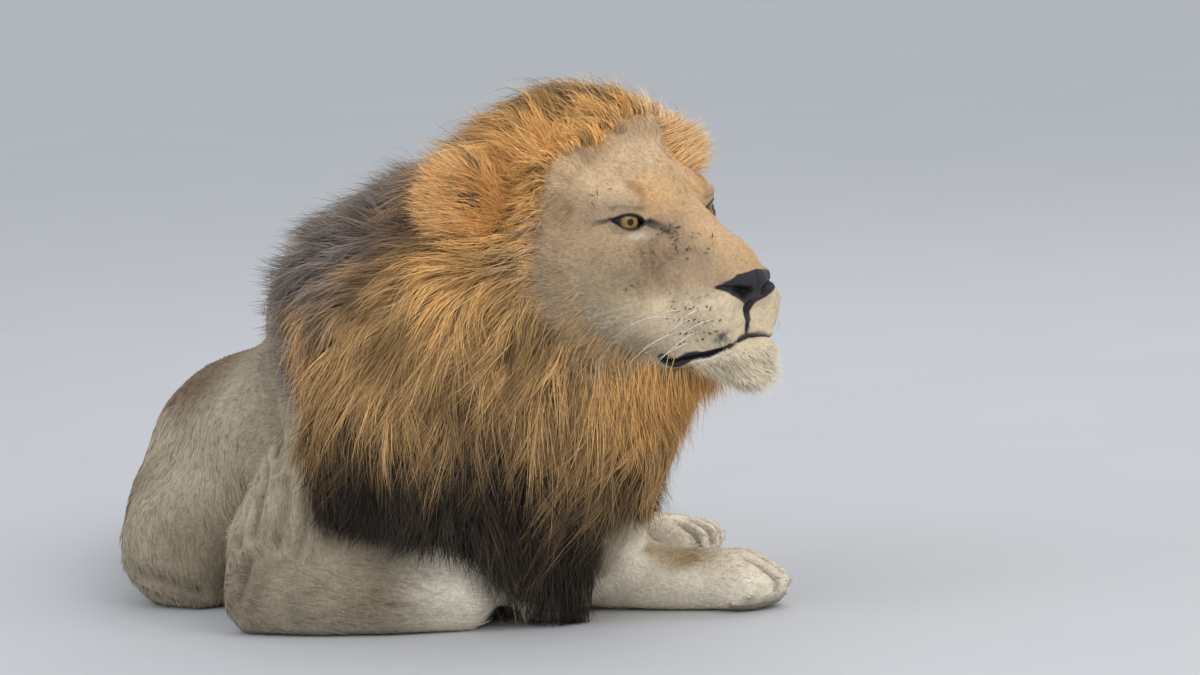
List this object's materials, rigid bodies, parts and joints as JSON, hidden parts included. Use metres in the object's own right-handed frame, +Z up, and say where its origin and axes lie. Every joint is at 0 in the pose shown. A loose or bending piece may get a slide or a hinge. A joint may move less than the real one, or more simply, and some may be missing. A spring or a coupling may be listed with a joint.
{
  "type": "resting male lion (still model)",
  "caption": "Life-size still model of a maned male lion lying on the floor, head raised and turned to its right, hindquarters rolled on one hip.",
  "frame": {"origin": "middle of the bounding box, on the floor the lion rests on", "axes": "+Z up; +Y from the forelegs towards the rump; +X from the right flank towards the side the nose and left paws lie on"},
  "size_m": [0.8308, 1.3036, 0.6493],
  "materials": {
    "coat": "short tawny grey-brown fur over flesh",
    "pale_coat": "short cream to white fur of paws, forearm and chin",
    "face_coat": "very short olive-tan fur with dark spots and old scars",
    "mane": "long golden-ochre to brown hair",
    "dark_mane": "long blackish-brown hair with tan tips",
    "nose_leather": "damp dark nose leather and lips",
    "eye": "wet amber eye with a round dark pupil"
  },
  "bodies": {
    "root": {"trunk": "coat", "rump": "coat", "thigh_right": "coat", "hind_leg_left": "coat", "upper_arm_right": "coat", "upper_arm_left": "coat", "forearm_right": "coat", "forearm_left": "pale_coat", "forepaw_left": "pale_coat", "forepaw_right": "pale_coat", "hindpaw_left": "pale_coat", "hindpaw_right": "pale_coat", "head": "face_coat", "muzzle": "face_coat", "lower_jaw": "pale_coat", "neck": "mane", "chest": "dark_mane", "ear_left": "mane", "ear_right": "mane", "nose": "nose_leather", "eye_left": "eye", "eye_right": "eye", "tail": "coat", "tail_tuft": "dark_mane"}
  },
  "joints": []
}
